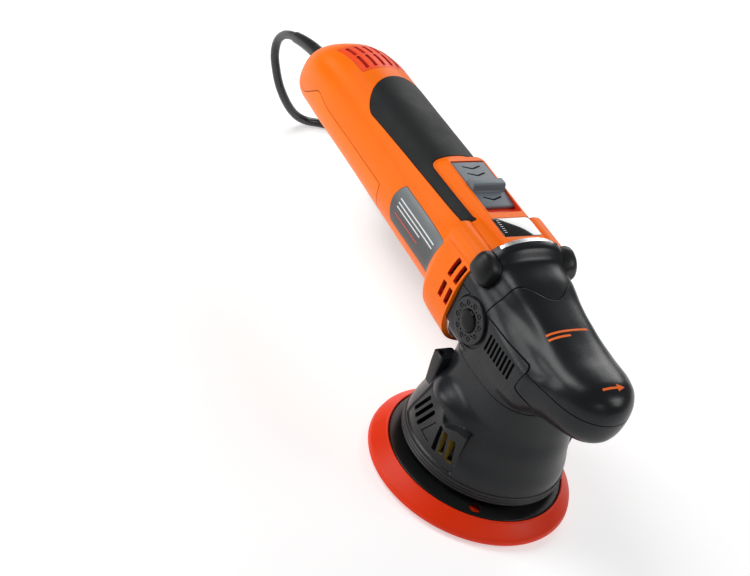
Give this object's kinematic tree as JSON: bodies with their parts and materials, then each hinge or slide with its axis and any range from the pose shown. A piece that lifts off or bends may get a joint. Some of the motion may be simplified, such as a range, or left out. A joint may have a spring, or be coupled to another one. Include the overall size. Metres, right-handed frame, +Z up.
{
  "type": "dual action polisher",
  "caption": "Corded random-orbit polisher: long orange grip and motor housing, slide switch, grey gear head with bulbous nose, eccentric spindle and a round red hook-and-loop backing plate.",
  "frame": {"origin": "on the drive spindle's axis, at the level of the backing plate's hook face, which is the underside that the tool stands on", "axes": "+Z up along the drive spindle, +X from the handle's rear end towards the nose, +Y to the operator's left when the tool is held with the nose away from them"},
  "size_m": [0.4859, 0.2393, 0.17],
  "materials": {
    "orange_housing": "satin moulded plastic, bright orange, fine grain",
    "vent_plastic": "satin moulded plastic, redder orange",
    "grip_rubber": "matt black moulded rubber",
    "head_plastic": "satin dark grey moulded plastic",
    "switch_plastic": "satin blue-grey moulded plastic",
    "black_plastic": "semi-gloss black plastic",
    "window_plastic": "glossy black lens",
    "badge_plate": "printed satin label plate",
    "cushion_foam": "smooth red-orange moulded polyurethane",
    "core_plastic": "satin black glass-filled plastic",
    "hook_fabric": "black hook tape",
    "steel": "ground steel",
    "laminations": "varnished lamination stack",
    "gear_casting": "die-cast aluminium",
    "copper": "enamelled copper",
    "brass": "plain brass",
    "carbon": "pressed carbon",
    "circuit_board": "green board",
    "cord_rubber": "black rubber cord sheath"
  },
  "bodies": {
    "housing": {"motor_housing": "orange_housing", "lower_handle_cover": "orange_housing", "rear_vent_panel": "vent_plastic", "grip_sleeve": "grip_rubber", "badge_right": "badge_plate", "badge_left": "badge_plate", "display_window": "window_plastic", "boss_cap_right": "grip_rubber", "boss_cap_left": "grip_rubber", "gear_case": "gear_casting", "head_cover": "head_plastic", "nose_cap": "head_plastic", "nose_chin": "head_plastic", "side_cover_right": "head_plastic", "boss_plug_right": "black_plastic", "side_cover_left": "head_plastic", "boss_plug_left": "black_plastic", "shroud": "head_plastic", "skirt_ring": "grip_rubber", "stator_core": "laminations", "field_coil_front": "copper", "field_coil_rear": "copper", "front_motor_bearing": "steel", "rear_motor_bearing": "steel", "upper_spindle_bearing": "steel", "lower_spindle_bearing": "steel", "rear_bearing_bridge": "black_plastic", "brush_holder_right": "brass", "brush_holder_left": "brass", "power_switch": "black_plastic", "control_board": "circuit_board", "speed_potentiometer": "black_plastic", "strain_relief": "cord_rubber", "supply_cord": "cord_rubber", "cord_hank": "cord_rubber", "hank_tie": "black_plastic", "plug_lead": "cord_rubber", "mains_plug": "black_plastic", "plug_pins": "brass", "cord_clamp": "black_plastic"},
    "spindle_unit": {"spindle": "steel", "crown_gear": "steel", "eccentric_hub": "steel", "counterweight": "brass", "pad_bearing": "steel"},
    "plate": {"hook_face": "hook_fabric", "plate_cushion": "cushion_foam", "plate_core": "core_plastic", "plate_shaft": "steel", "plate_bolt": "steel"},
    "armature": {"armature_shaft": "steel", "armature_core": "laminations", "commutator": "copper", "fan": "black_plastic", "drive_pinion": "steel"},
    "brush_right": {"carbon_brush_right": "carbon"},
    "brush_left": {"carbon_brush_left": "carbon"},
    "switch": {"switch_slider": "switch_plastic", "switch_link": "black_plastic"},
    "speed_dial": {"speed_wheel": "black_plastic"}
  },
  "joints": [
    {"name": "spindle_spin", "type": "hinge", "parent": "housing", "child": "spindle_unit", "pos_m": [0, 0, 0], "axis": [0, 0, 1], "continuous": true},
    {"name": "plate_spin", "type": "hinge", "parent": "spindle_unit", "child": "plate", "pos_m": [0.00441, -0.00607, 0], "axis": [0, 0, 1], "continuous": true},
    {"name": "armature_spin", "type": "hinge", "parent": "housing", "child": "armature", "pos_m": [-0.1, 0, 0.123], "axis": [1, 0, 0], "continuous": true},
    {"name": "switch_slide", "type": "slide", "parent": "housing", "child": "switch", "axis": [1, 0, 0], "range_m": [0, 0.006]},
    {"name": "speed_dial_turn", "type": "hinge", "parent": "housing", "child": "speed_dial", "pos_m": [-0.276, 0.0165, 0.098], "axis": [0, 0, 1], "range_deg": [0, 270]},
    {"name": "brush_right_slide", "type": "slide", "parent": "housing", "child": "brush_right", "axis": [0, -1, 0], "range_m": [0, 0.004]},
    {"name": "brush_left_slide", "type": "slide", "parent": "housing", "child": "brush_left", "axis": [0, 1, 0], "range_m": [0, 0.004]}
  ],
  "couplings": [
    {"joint": "armature_spin", "follows": "spindle_spin", "ratio": -3.5}
  ]
}
